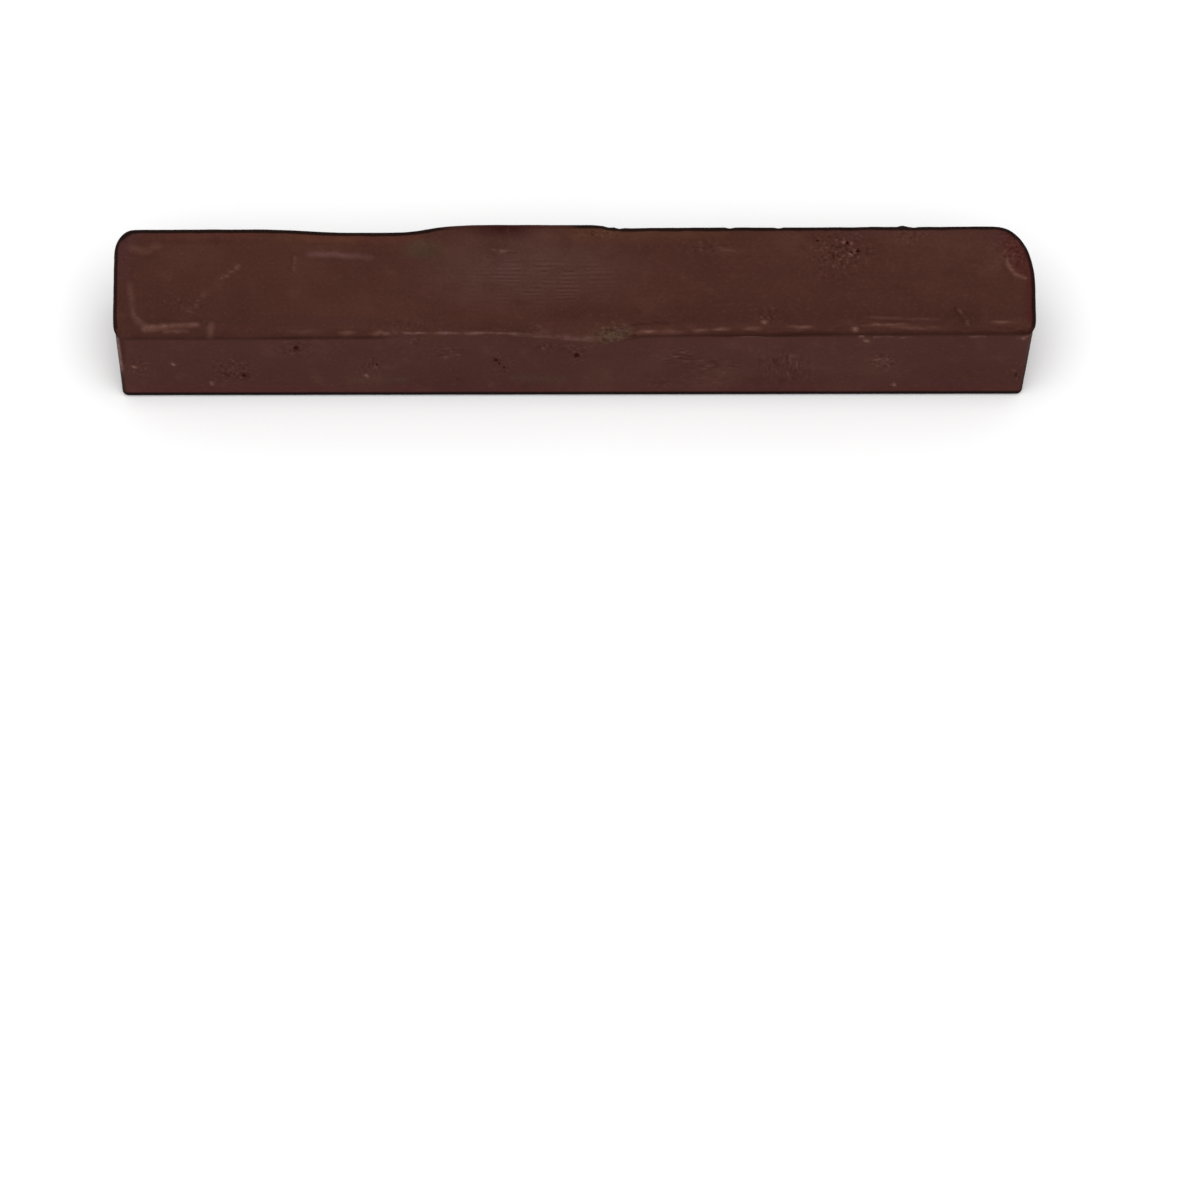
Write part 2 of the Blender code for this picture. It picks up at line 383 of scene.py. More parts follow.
def at_back(y):
    """True for points on the outer half of the back shoulder."""
    return y > half_width - SHOULDER / 2


def at_front(y):
    """True for points on the front shoulder."""
    return y < SHOULDER - half_width


def lip(side, middle, half):
    """A test for the lip on one side, along a stretch of the bar."""
    def test(x, y, z):
        return side(y) & (above_mouth(x, z) > JUST_ABOVE) & (np.abs(x - middle) < half)
    return test


# %% Push the cap into its uneven shape
DRAWN_BACK_MIDDLE = -18.2 * MM
DRAWN_BACK_HALF = 1.0 * MM
DRAWN_BACK_MOVE = (0, -0.45 * MM, 0)
DRAWN_BACK_REACH = 9.5 * MM
OVERFLOW_MIDDLE = -4.8 * MM
OVERFLOW_HALF = 6.6 * MM
OVERFLOW_MOVE = (0, 0.4 * MM, 0)
OVERFLOW_REACH = 3.8 * MM
BREAK_MIDDLE = -7.0 * MM
BREAK_HALF = 8.6 * MM
BREAK_REACH = 2.4 * MM
BREAK_SHARPNESS = 0.35

select(lambda x, y, z: above_mouth(x, z) < JUST_ABOVE)
bpy.ops.mesh.hide(unselected=False)
drawn = pull(lip(at_back, DRAWN_BACK_MIDDLE, DRAWN_BACK_HALF), DRAWN_BACK_MOVE, DRAWN_BACK_REACH)
spilled = pull(lip(at_back, OVERFLOW_MIDDLE, OVERFLOW_HALF), OVERFLOW_MOVE, OVERFLOW_REACH)
broken = select(lip(at_front, BREAK_MIDDLE, BREAK_HALF))
wall_line = (0, -half_width, 0)
scale_about(wall_line, across=BREAK_SHARPNESS, proportional_size=BREAK_REACH, **SOFT)
bpy.ops.mesh.reveal(select=False)
bpy.ops.object.mode_set(mode="OBJECT")
print("points drawn back, run over and broken off:", drawn, spilled, broken)

# %% [markdown]
# The dip in the break is longer on one side, and it must not drag the whole face down with it.
# A vertex group says how much of a push each point takes, so its shape can be written down exactly.

# %% Sink the dip
DIP_MIDDLE = 2.0 * MM
DIP_LEFT = 9.5 * MM
DIP_RIGHT = 4.4 * MM
DIP_DEPTH = 1.05 * MM
DIP_INNER = 4.2 * MM
DIP_OUTER = 6.0 * MM
DIP_FOOT = 5.0 * MM


def ramp(value, start, end):
    """Runs from 0 at the start to 1 at the end with no kink, like the shader's smooth step."""
    share = np.clip((value - start) / (end - start), 0, 1)
    return share * share * (3 - 2 * share)


def weigh(name, weights):
    """Makes a vertex group with a weight from 0 to 1 for every point."""
    group = stick.vertex_groups.new(name=name)
    for index in np.flatnonzero(weights > 0.001):
        group.add([int(index)], float(weights[index]), "REPLACE")
    return group.name


def displace(name, weights, **settings):
    """Moves points as far as their weights let it, with a Displace modifier that is applied at once."""
    push = stick.modifiers.new(name, "DISPLACE")
    push.vertex_group = weigh(name, weights)
    for setting, value in settings.items():
        setattr(push, setting, value)
    bpy.ops.object.modifier_apply(modifier=push.name)
    stick.vertex_groups.clear()


def along_dip(x):
    """The share of the dip's depth, from 0 to 1, at places along the bar."""
    return ramp(x, DIP_MIDDLE - DIP_LEFT, DIP_MIDDLE) * ramp(x, DIP_MIDDLE + DIP_RIGHT, DIP_MIDDLE)


x, y, z = places()
dip = along_dip(x) * ramp(-y, DIP_INNER, DIP_OUTER) * ramp(z, DIP_FOOT, MOUTH_HEIGHT)
displace("dip", dip, direction="Z", mid_level=0.0, strength=-DIP_DEPTH)
print("points in the dip:", int((dip > 0.1).sum()))

# %% [markdown]
# Molten wax has no flat facets, so the whole mesh is smoothed by a Subdivision Surface modifier.
# It is applied at once, because the small damage that follows needs real points to move.

# %% Smooth the mesh
SMOOTHING_LEVELS = 2
smoothing = stick.modifiers.new("smoothing", "SUBSURF")
smoothing.levels = SMOOTHING_LEVELS
smoothing.render_levels = SMOOTHING_LEVELS
bpy.ops.object.modifier_apply(modifier=smoothing.name)
print("faces after smoothing:", len(stick.data.polygons))

# %% [markdown]
# Wax shrinks as it cools, so no wall of the real bar is quite flat and no edge quite straight.
# A Displace modifier with a cloud texture moves the points by a few hundredths of a millimetre.
# Where the break has crumbled, it moves them by a few tenths.
# A vertex group keeps the floor out of it, which must still sit flat on a table.

# %% Make the skin uneven
def roughen(name, weights, strength, size, level):
    """Moves points in and out by a cloud texture of a given size. A higher level moves them mostly in."""
    clouds = bpy.data.textures.new(name, type="CLOUDS")
    clouds.noise_scale = size
    clouds.noise_depth = 2
    displace(name, weights, texture=clouds, texture_coords="LOCAL", strength=strength, mid_level=level)


x, y, z = places()
off_floor = ramp(z, 0.3 * MM, 1.2 * MM)
on_cap = ramp(above_mouth(x, z), -0.05 * MM, 0.15 * MM)
roughen("slow_waves", off_floor, strength=0.08 * MM, size=7 * MM, level=0.7)
roughen("cap_waves", on_cap, strength=0.05 * MM, size=1.8 * MM, level=0.7)
crumbled_stretch = ramp(x, 0.4 * MM, 1.6 * MM) * ramp(x, 6.0 * MM, 4.8 * MM)
crumbled = on_cap * ramp(-y, 4.6 * MM, 5.4 * MM) * crumbled_stretch
roughen("crumbled_break", crumbled, strength=0.5 * MM, size=0.5 * MM, level=0.8)
worn = ramp(-y, 5.3 * MM, 5.8 * MM) * on_cap
roughen("worn_edge", worn, strength=0.12 * MM, size=0.5 * MM, level=0.9)
print("crumbled points:", int((crumbled > 0.1).sum()))

# %% [markdown]
# The back edge is nicked where the bar was knocked out, and the front wall has one clear dent.
# Each is a few points moved with a soft falloff, which is how a thumb would press warm wax.

# %% Press the damage in
def lean_in(z):
    """How far the leaning walls have drawn in at a height, measured from the mouth."""
    return (MOUTH_HEIGHT - z) * math.tan(WALL_DRAFT)


def press(spot, move, reach):
    """Moves the one point nearest to a spot, and its neighbours by less and less."""
    def nearest(x, y, z):
        gap = (x - spot[0]) ** 2 + (y - spot[1]) ** 2 + (z - spot[2]) ** 2
        return gap == gap.min()
    pull(nearest, move, reach)


LIP_HEIGHT = 9.5 * MM
BACK_NICKS = (-18.0 * MM, 3.0 * MM, 3.9 * MM, 13.8 * MM, 18.3 * MM, 30.3 * MM)
NICK_MOVE = (0, -0.09 * MM, -0.03 * MM)
NICK_REACH = 0.5 * MM
BACK_BUMP = 29.3 * MM
BUMP_MOVE = (0, 0.18 * MM, 0)
BUMP_REACH = 0.6 * MM
presses = [((nick, half_width, LIP_HEIGHT), NICK_MOVE, NICK_REACH) for nick in BACK_NICKS]
presses.append(((BACK_BUMP, half_width, LIP_HEIGHT), BUMP_MOVE, BUMP_REACH))

DENT_X = 27.4 * MM
DENT_HEIGHT = 6.1 * MM
DENT_MOVE = (0, 0.16 * MM, 0)
DENT_REACH = 0.6 * MM
DENT_LIP_DROP = 0.4 * MM
DENT_LIP_MOVE = (0, -0.07 * MM, 0)
DENT_LIP_REACH = 0.35 * MM
dent_y = lean_in(DENT_HEIGHT) - half_width
presses.append(((DENT_X, dent_y, DENT_HEIGHT), DENT_MOVE, DENT_REACH))
presses.append(((DENT_X, dent_y, DENT_HEIGHT - DENT_LIP_DROP), DENT_LIP_MOVE, DENT_LIP_REACH))

CREST_HEIGHT = 9.8 * MM
CRUMBS = ((16.9 * MM, -4.9 * MM), (25.0 * MM, -5.7 * MM))
CRUMB_MOVE = (0, -0.05 * MM, 0.05 * MM)
CRUMB_REACH = 0.4 * MM
presses += [((side, depth, CREST_HEIGHT), CRUMB_MOVE, CRUMB_REACH) for side, depth in CRUMBS]

for target, move, reach in presses:
    press(target, move, reach)
bpy.ops.object.mode_set(mode="OBJECT")
print("places pressed:", len(presses))

# %% [markdown]
# Air rose through the wax as it was poured, and some bubbles stuck to the mould and left round pits.
# Bump alone would look painted from the side, so the pits are cut out.
# One small ball is modelled and copied, the copies are joined, and a Boolean takes them all away at once.

# %% List the pits
# Place along the bar, height and radius
FRONT_PITS = (
    (-24.8 * MM, 7.5 * MM, 0.24 * MM),
    (-29.5 * MM, 3.3 * MM, 0.20 * MM),
    (-7.0 * MM, 5.6 * MM, 0.18 * MM),
    (-6.7 * MM, 5.1 * MM, 0.10 * MM),
    (-6.3 * MM, 4.5 * MM, 0.11 * MM),
    (0.2 * MM, 6.35 * MM, 0.24 * MM),
    (-17.6 * MM, 5.0 * MM, 0.10 * MM),
)
# Place along the bar, place across it and radius
TOP_PITS = (
    (24.40 * MM, 4.25 * MM, 0.15 * MM),
    (25.32 * MM, 3.32 * MM, 0.15 * MM),
    (24.80 * MM, 3.22 * MM, 0.08 * MM),
    (21.72 * MM, 4.50 * MM, 0.10 * MM),
    (23.50 * MM, 4.80 * MM, 0.08 * MM),
)
PIT_STRETCH = 1.5
BACK_PIT_COUNT = 9
PIT_SEED = 7
FACE_HEIGHT = 9.62 * MM
chance = random.Random(PIT_SEED)

spots = [(x, lean_in(z) - half_width, z, size) for x, z, size in FRONT_PITS]
spots += [(x, y, FACE_HEIGHT, size) for x, y, size in TOP_PITS]
for _ in range(BACK_PIT_COUNT):
    x = chance.uniform(-0.9, 0.9) * half_length
    z = chance.uniform(0.2, 0.85) * MOUTH_HEIGHT
    spots.append((x, half_width - lean_in(z), z, chance.uniform(0.10, 0.20) * MM))
print("widest pit, in mm:", round(2 * max(spot[3] for spot in spots) / MM, 2))

# %% Cut the pits
def choose(*objects):
    """Selects these objects alone, with the first one active."""
    bpy.ops.object.select_all(action="DESELECT")
    for piece in objects:
        piece.select_set(True)
    bpy.context.view_layer.objects.active = objects[0]


bpy.ops.object.select_all(action="DESELECT")
bpy.ops.mesh.primitive_ico_sphere_add(subdivisions=3, radius=1)
ball = bpy.context.object
balls = []
for x, y, z, size in spots:
    choose(ball)
    bpy.ops.object.duplicate()
    copy = bpy.context.object
    copy.scale = (size, size, PIT_STRETCH * size)
    copy.location = (x, y, z)
    balls.append(copy)
bpy.data.objects.remove(ball)
choose(*balls)
bpy.ops.object.join()
bpy.ops.object.transform_apply(location=True, rotation=True, scale=True)
bubbles = bpy.context.object

choose(stick)
cut = stick.modifiers.new("bubbles", "BOOLEAN")
cut.operation = "DIFFERENCE"
cut.object = bubbles
bpy.ops.object.modifier_apply(modifier=cut.name)
bpy.data.objects.remove(bubbles)
bpy.ops.object.shade_smooth_by_angle(angle=math.radians(40))
print("pits cut:", len(spots), "faces now:", len(stick.data.polygons))

# %% [markdown]
# Rubs, scratches, stains and specks could be painted by hand in Vertex Paint, one brush stroke at a time.
# Here each stroke is written down as a line on one face, and the points of the mesh near it take the paint.
# A layer is an attribute: one number for every point. The finish further down reads it and adds the grain.

# %% Where each face is
# How far the strokes wobble, in mm, and how quickly along the way
SHAKE = 0.16
SHAKE_FINENESS = 1.25
SHAKE_SEED = 7
# Where the paint of a long wall and of an end wall fades in, in mm from the middle
SIDE_FADE = (3.0, 5.0)
END_FADE = (38.5, 39.5)
MOUTH_MM = MOUTH_HEIGHT / MM

x, y, z = [side / MM for side in places()]
cloud.seed_set(SHAKE_SEED)
shaken = np.array([cloud.noise_vector(spot) for spot in np.stack((x, y, z), 1) * SHAKE_FINENESS]).T * SHAKE
steady_top, steady_front = np.stack((x, y), 1), np.stack((x, z), 1)
top_view = np.stack((x + shaken[0], y + shaken[1]), 1)
front_view = np.stack((x + shaken[0], z + shaken[2]), 1)
end_view = np.stack((y + shaken[1], z + shaken[2]), 1)
dipped = along_dip(x * MM) * ramp(-y, *SIDE_FADE)
over_mouth = z - MOUTH_MM - x * math.tan(MOUTH_TILT) + dipped * DIP_DEPTH / MM
on_top = ramp(over_mouth, -0.1, 0.1)
on_front = (1 - on_top) * ramp(-y, *SIDE_FADE)
on_back = (1 - on_top) * ramp(y, *SIDE_FADE)
on_left_end = (1 - on_top) * ramp(-x, *END_FADE)
on_right_end = (1 - on_top) * ramp(x, *END_FADE)
print("points to paint:", len(x))

# %% A brush for the points
# A mark's name is only for the reader. Its width and points are in mm.
Mark = namedtuple("Mark", "name width strength points")


def stroke(view, points, width):
    """1 on a line through the points, fading out at the given width."""
    gaps = []
    for start, end in zip(points, points[1:] or points):
        along = np.subtract(end, start)
        share = np.clip((view - start) @ along / max(along @ along, 0.001), 0, 1)
        gaps.append(np.linalg.norm(view - start - np.outer(share, along), axis=1))
    return ramp(np.min(gaps, axis=0), width, 0)


def blob(view, centre, reach):
    """1 at a centre, fading out at its reach along each side."""
    return ramp(np.linalg.norm((view - centre) / reach, axis=1), 1, 0)


def marks_on(face, view, marks):
    """The strongest of several strokes on one face."""
    return face * np.max([stroke(view, mark.points, mark.width) * mark.strength for mark in marks], axis=0)


def top_marks(*marks):
    """Strokes on the poured face, whose points are x and y."""
    return marks_on(on_top, top_view, marks)


def front_marks(*marks):
    """Strokes on the front wall, whose points are x and z."""
    return marks_on(on_front, front_view, marks)


def lay(name, weights):
    """Keeps one layer of paint as an attribute of the mesh."""
    made = stick.data.attributes.new(name=name, type="FLOAT", domain="POINT")
    made.data.foreach_set("value", weights)
    print(name, "covers points:", int((weights > 0.05).sum()))


# %% [markdown]
# Wax marks easily. It has pale rubs where it slid on something, thin scratches, and grooves that look dark.
# They are too shallow to show from the side, so paint and a little bump stand for them, and no cuts are made.
# The pale rubs on the rim are partly painted highlights on its rounded shoulder.

# %% Paint the scuffed places
# Pale rubs, partly wear and partly painted highlights on the rounded rim.
rubs_and_highlights = top_marks(
    Mark("left end", 0.50, 0.18, ((-39.6, -0.4), (-39.5, -2.1), (-39.3, -3.5))),
    Mark("left corner", 0.60, 0.24, ((-39.3, -3.5), (-38.8, -4.6), (-38.0, -5.25))),
    Mark("left front", 0.60, 0.50, ((-38.1, -5.35), (-36.4, -5.25))),
    Mark("left front, further on", 0.45, 0.40, ((-36.8, -5.2), (-35.2, -5.05), (-33.6, -5.0))),
    Mark("under the left front", 0.28, 0.22, ((-36.5, -5.75), (-34.4, -5.65))),
    Mark("left smear", 0.50, 0.24, ((-32.3, -5.0), (-32.4, -5.9))),
    Mark("back left", 0.70, 0.14, ((-39.5, 3.8), (-38.3, 3.6), (-37.2, 4.1))),
    Mark("right corner haze", 1.5, 0.08, ((36.9, 1.2), (38.6, 2.6))),
    Mark("right corner arc", 0.30, 0.40, ((38.6, 1.9), (39.2, 0.7), (40.2, 0.0))),
)
scratched = top_marks(
    Mark("slanting, speckled", 0.40, 0.30, ((-31.4, 0.5), (-30.8, 1.0))),
    Mark("slanting, further on", 0.40, 0.34, ((-30.6, 1.3), (-30.0, 1.8))),
    Mark("short, upright", 0.22, 0.20, ((-24.9, 2.9), (-24.95, 1.4))),
    Mark("left of a vee", 0.35, 0.14, ((-34.8, -2.9), (-34.0, -3.4))),
    Mark("right of a vee", 0.35, 0.18, ((-33.8, -2.8), (-32.9, -1.2))),
    Mark("middle streak", 0.30, 0.38, ((-7.1, 3.6), (-5.7, 3.45))),
    Mark("streak behind the middle", 0.35, 0.22, ((12.9, 3.7), (14.6, 3.4))),
    Mark("upright pair", 0.30, 0.20, ((11.3, 4.3), (11.4, 3.1))),
    Mark("right front nick", 0.22, 0.30, ((34.4, -3.4), (35.1, -5.3))),
)
wall_lines = front_marks(
    Mark("under the rim, middle", 0.22, 0.28, ((14.4, 9.15), (17.4, 9.15))),
    Mark("under the rim, right", 0.22, 0.28, ((26.7, 9.1), (29.9, 9.1))),
    Mark("near the right end", 0.22, 0.35, ((35.2, 9.1), (36.6, 9.1))),
    Mark("at the right end", 0.40, 0.50, ((39.6, 8.9), (40.3, 9.0))),
    Mark("lip of the dent", 0.30, 0.40, ((26.9, 5.6), (27.4, 5.45), (27.9, 5.6))),
)
lay("rubs_and_highlights", rubs_and_highlights)
lay("scratched", np.maximum(scratched, wall_lines))
lay("grooved", top_marks(
    Mark("short, upright", 0.22, 0.45, ((-25.3, 2.9), (-25.35, 1.4))),
    Mark("behind the rim", 0.30, 0.60, ((5.2, -5.1), (8.4, -5.0))),
    Mark("above the right rim", 0.25, 0.50, ((27.8, -4.75), (29.8, -4.7))),
    Mark("first nick", 0.25, 0.65, ((34.0, -3.3), (34.8, -5.3))),
    Mark("second nick", 0.25, 0.60, ((34.7, -3.6), (35.4, -5.4))),
))

# %% [markdown]
# The crest of the rim and the edge of the break are scuffed in short dashes, where they rubbed first. The
# pale dashes are partly painted highlights along the crest.
# A dash tapers to both ends, so it is painted as a long thin blob and not as a stroke.

# %% Paint the dashes along the rim and the broken edge
Dash = namedtuple("Dash", "x y half_length strength")
RIM_DASHES = (
    Dash(-24.1, -5.75, 2.2, 0.12),
    Dash(-20.3, -5.90, 0.9, 0.35),
    Dash(-17.2, -5.95, 1.2, 0.30),
    Dash(6.5, -5.85, 1.1, 0.50),
    Dash(8.8, -5.85, 1.2, 0.25),
    Dash(11.2, -5.70, 0.9, 0.45),
    Dash(13.1, -5.60, 1.0, 0.48),
    Dash(15.8, -5.60, 1.0, 0.35),
    Dash(20.2, -5.50, 1.4, 0.45),
    Dash(27.8, -5.25, 2.6, 0.42),
    Dash(30.2, -5.55, 3.0, 0.25),
    Dash(27.6, -4.35, 2.2, 0.20),
    Dash(30.6, -4.55, 2.6, 0.18),
    Dash(38.0, -5.00, 1.3, 0.40),
)
EDGE_DASHES = (
    Dash(-14.1, -6.0, 1.3, 0.75),
    Dash(-11.3, -6.0, 1.4, 1.00),
    Dash(-8.6, -6.0, 1.5, 0.70),
    Dash(-5.7, -6.0, 1.9, 0.70),
    Dash(-2.8, -6.0, 1.5, 0.60),
    Dash(-0.4, -6.0, 1.4, 0.60),
    Dash(1.2, -6.0, 0.9, 0.70),
)
DASH_TAPER = 1.2
RIM_DASH_HALF_WIDTH = 0.28
EDGE_DASH_HALF_WIDTH = 1.2


def dashes(marks, half_width_mm):
    """The strongest of several short dashes that taper to both ends."""
    found = []
    for mark in marks:
        reach = (mark.half_length * DASH_TAPER, half_width_mm)
        found.append(blob(top_view, (mark.x, mark.y), reach) * mark.strength)
    return on_top * np.max(found, axis=0)


# The pale dashes are partly scuffs and partly painted highlights along the crest and the broken edge.
lay("rim_dashes", dashes(RIM_DASHES, RIM_DASH_HALF_WIDTH))
lay("edge_dashes", dashes(EDGE_DASHES, EDGE_DASH_HALF_WIDTH))

# %% [markdown]
# Small bubbles left patches of froth, and the skin has patches of short ticks and of ripples.
# Only the place of each patch is painted. Noise draws its grain later, in the finish.

# %% Where the speckled, ticked and rippled patches are
Patch = namedtuple("Patch", "centre reach strength")


def patches(*faces):
    """The strongest of several patches. Each face has a mask, a view and the patches on it."""
    found = []
    for mask, view, marks in faces:
        found += [mask * blob(view, mark.centre, mark.reach) * mark.strength for mark in marks]
    return np.max(found, axis=0)


FROTH_ON_TOP = (
    Patch((23.6, 3.0), (4.8, 4.2), 0.9),
    Patch((-35.2, -2.6), (3.2, 2.4), 0.35),
    Patch((3.2, -5.6), (2.8, 1.6), 1.0),
    Patch((39.2, 3.2), (2.2, 4.0), 1.0),
    Patch((30.0, 5.0), (2.4, 1.6), 0.7),
    Patch((2.6, 5.4), (4.0, 0.8), 0.8),
    Patch((11.6, 3.8), (3.4, 1.6), 0.5),
    Patch((-15.0, -5.0), (4.0, 1.2), 0.45),
)
FROTH_ON_FRONT = (
    Patch((-30.4, 4.2), (3.2, 3.0), 1.0),
    Patch((-24.8, 7.5), (2.2, 2.0), 0.9),
    Patch((-6.4, 4.8), (1.8, 2.0), 0.9),
    Patch((0.2, 6.5), (1.6, 1.8), 0.9),
    Patch((-14.2, 8.8), (1.4, 1.0), 1.0),
    Patch((-39.0, 4.6), (1.8, 2.0), 1.0),
    Patch((27.4, 5.4), (2.2, 2.2), 1.0),
    Patch((0.0, 8.2), (3.6, 1.0), 0.8),
)
FROTH_ON_BACK = (
    Patch((33.4, 6.6), (1.6, 1.5), 0.6),
    Patch((17.5, 3.4), (4.2, 2.6), 0.9),
    Patch((-6.0, 6.9), (1.5, 1.4), 0.7),
    Patch((-27.5, 4.2), (3.0, 2.8), 0.9),
)
FROTH_ON_LEFT_END = (Patch((1.6, 4.6), (2.2, 2.4), 0.8),)
FROTH_ON_RIGHT_END = (Patch((-1.2, 5.8), (2.4, 2.0), 0.8),)
TICKS_ON_TOP = (Patch((17.4, -4.0), (2.0, 1.6), 1.0),)
TICKS_ON_FRONT = (
    Patch((18.6, 4.6), (3.8, 3.8), 0.75),
    Patch((39.6, 3.4), (1.4, 2.6), 1.0),
    Patch((-2.6, 7.7), (1.4, 1.2), 1.0),
    Patch((-18.0, 4.4), (2.0, 2.4), 0.6),
)
TICKS_ON_BACK = (Patch((21.8, 5.2), (3.0, 3.0), 0.6), Patch((-30.6, 6.0), (1.8, 2.2), 0.5))
RIPPLES_ON_FRONT = (
    Patch((9.4, 6.2), (3.2, 2.0), 0.8),
    Patch((-11.3, 6.8), (2.4, 1.6), 1.0),
    Patch((12.2, 4.4), (3.6, 2.2), 0.8),
    Patch((10.0, 2.2), (6.0, 1.4), 0.5),
)
RIPPLES_ON_BACK = (
    Patch((4.6, 4.6), (5.2, 1.8), 0.7),
    Patch((-13.0, 2.4), (2.6, 1.2), 0.5),
)
DRAGGED = Patch((-2.6, 0.0), (11.5, 5.0), 1.0)
print("patches of froth on the face and the front wall:", len(FROTH_ON_TOP), len(FROTH_ON_FRONT))

# %% Paint the patches
lay("froth", patches(
    (on_top, top_view, FROTH_ON_TOP),
    (on_front, front_view, FROTH_ON_FRONT),
    (on_back, front_view, FROTH_ON_BACK),
    (on_left_end, end_view, FROTH_ON_LEFT_END),
    (on_right_end, end_view, FROTH_ON_RIGHT_END),
))
lay("ticks", patches(
    (on_top, top_view, TICKS_ON_TOP),
    (on_front, front_view, TICKS_ON_FRONT),
    (on_back, front_view, TICKS_ON_BACK),
))
lay("ripples", patches((on_front, front_view, RIPPLES_ON_FRONT), (on_back, front_view, RIPPLES_ON_BACK)))
lay("dragged", patches((on_top, steady_top, (DRAGGED,))))

# %% [markdown]
# Crumbs and specks are pale, and the glints beside the pits on the face are painted highlights. Pits are
# dark, because little light gets into them and dirt stays there.
# The cut pits are painted a little wider than they are, so that their rims are dark too.

# %% Paint specks, crumbs, painted glints and pits
SPECKS = (
    (-39.3, 4.6), (-35.8, 5.15), (-32.4, 2.1), (-18.6, 3.25),
    (28.5, 1.7), (25.6, 9.2), (26.1, 8.5), (40.0, 8.9),
)
# Painted highlights beside the pits on the face, laid with the specks.
PIT_GLINTS = ((24.10, 4.30), (24.68, 4.20), (25.02, 3.32), (24.65, 2.95))
CRUMB_PAINT = (0.36, 0.40)
SPECK_PAINT = (0.30, 0.40)
GLINT_PAINT = (0.25, 0.25)
DENT_PAINT = (0.6, 0.35)
DENT_DARKNESS = 0.6
PIT_PAINT_SHARE = 1.8


def pit_paint(face, view, middle, size, stretched=1.0):
    """Dark paint in one pit and a little way round it."""
    reach = np.array((size, stretched * size)) * PIT_PAINT_SHARE / MM
    return face * blob(view, np.divide(middle, MM), reach)


crumbs = [on_top * blob(steady_top, np.divide(crumb, MM), CRUMB_PAINT) for crumb in CRUMBS]
specks_and_glints = [on_front * blob(front_view, speck, SPECK_PAINT) for speck in SPECKS]
# The glints added here are painted highlights.
specks_and_glints += [on_top * blob(steady_top, glint, GLINT_PAINT) for glint in PIT_GLINTS]
pits = [on_front * blob(steady_front, (DENT_X / MM, DENT_HEIGHT / MM), DENT_PAINT) * DENT_DARKNESS]
for side, height, size in FRONT_PITS:
    pits.append(pit_paint(on_front, steady_front, (side, height), size, PIT_STRETCH))
for side, depth, size in TOP_PITS:
    pits.append(pit_paint(on_top, steady_top, (side, depth), size))
for side, _, height, size in spots[-BACK_PIT_COUNT:]:
    pits.append(pit_paint(on_back, steady_front, (side, height), size, PIT_STRETCH))
lay("specks_and_glints", np.max(crumbs + specks_and_glints, axis=0))
lay("pits", np.max(pits, axis=0))

# %% [markdown]
# Wax that was poured a little hotter or cooler sets in another shade, mostly along the back edge.
# All these shades go into one coloured layer, each laid over the last, and its alpha says how much shows.

# %% Paint the stains
def paint(red, green, blue):
    """A colour from screen numbers, 0 to 255, to the light that Blender counts in, by the sRGB curve."""
    def light(value):
        share = value / 255
        return share / 12.92 if share <= 0.04045 else ((share + 0.055) / 1.055) ** 2.4
    return (light(red), light(green), light(blue), 1.0)


CAP_BROWN = paint(67, 39, 32)
MAROON = paint(44, 14, 14)
RED_BROWN = paint(82, 42, 35)
DEEP_RED = paint(66, 26, 24)
DULL_BROWN = paint(60, 33, 26)
ORANGE_BROWN = paint(82, 50, 34)
PINK_BROWN = paint(94, 64, 60)
GREEN_GREY = paint(68, 58, 42)
COOL_BROWN = paint(80, 54, 49)
FOOT_RED = paint(76, 36, 35)
PLUM = paint(68, 38, 40)
stain = np.tile(CAP_BROWN[:3] + (0.0,), (len(x), 1))


def stain_with(shade, weights):
    """Lays a shade over the stains that are there."""
    shown = weights + stain[:, 3] * (1 - weights)
    share = (weights / np.maximum(shown, 0.001))[:, None]
    stain[:, :3] = stain[:, :3] * (1 - share) + np.array(shade[:3]) * share
    stain[:, 3] = shown


stain_with(COOL_BROWN, on_top * blob(top_view, (-4.5, 1.4), (14.0, 6.0)) * 0.8)
# Just behind the front rim on the right, the face is painted darker.
stain_with(DULL_BROWN, top_marks(
    Mark("behind the right rim", 2.2, 0.5, ((-1.0, -4.0), (14.0, -4.0), (36.0, -4.0))),
))
# The front wall is painted darker towards the bottom, and more so towards the right.
stain_with(DULL_BROWN, on_front * ramp(z, 8.0, 2.0) * (0.2 + 0.3 * ramp(x, -4, 8)))
stain_with(ORANGE_BROWN, top_marks(
    Mark("behind the middle", 1.6, 0.6, ((0.4, 5.6), (13.0, 5.4))),
    Mark("behind the left", 1.5, 0.5, ((-27.0, 5.2), (-20.0, 5.0))),
))
stain_with(RED_BROWN, top_marks(
    Mark("left of the overflow", 1.4, 0.4, ((-24.0, 5.4), (-14.0, 5.0))),
    Mark("back left", 1.4, 0.4, ((-36.0, 5.4), (-29.0, 5.4))),
))
stain_with(DEEP_RED, top_marks(
    Mark("right corner scrape", 1.7, 0.8, ((38.8, 4.6), (39.5, 3.0), (40.3, 1.0))),
    Mark("right rim", 0.9, 0.8, ((40.7, 1.0), (40.7, -1.5), (40.6, -4.5))),
))
stain_with(PINK_BROWN, top_marks(
    Mark("cool streak", 0.6, 0.7, ((-23.6, 3.25), (-21.4, 3.15), (-18.3, 2.85))),
))
stain_with(GREEN_GREY, on_top * blob(top_view, (-13.4, 3.7), (2.8, 1.6)) * 0.7)
stain_with(GREEN_GREY, on_top * blob(top_view, (3.4, -5.7), (2.8, 1.2)) * 0.6)
stain_with(MAROON, on_top * blob(top_view, (-6.4, 6.1), (4.2, 1.7)))
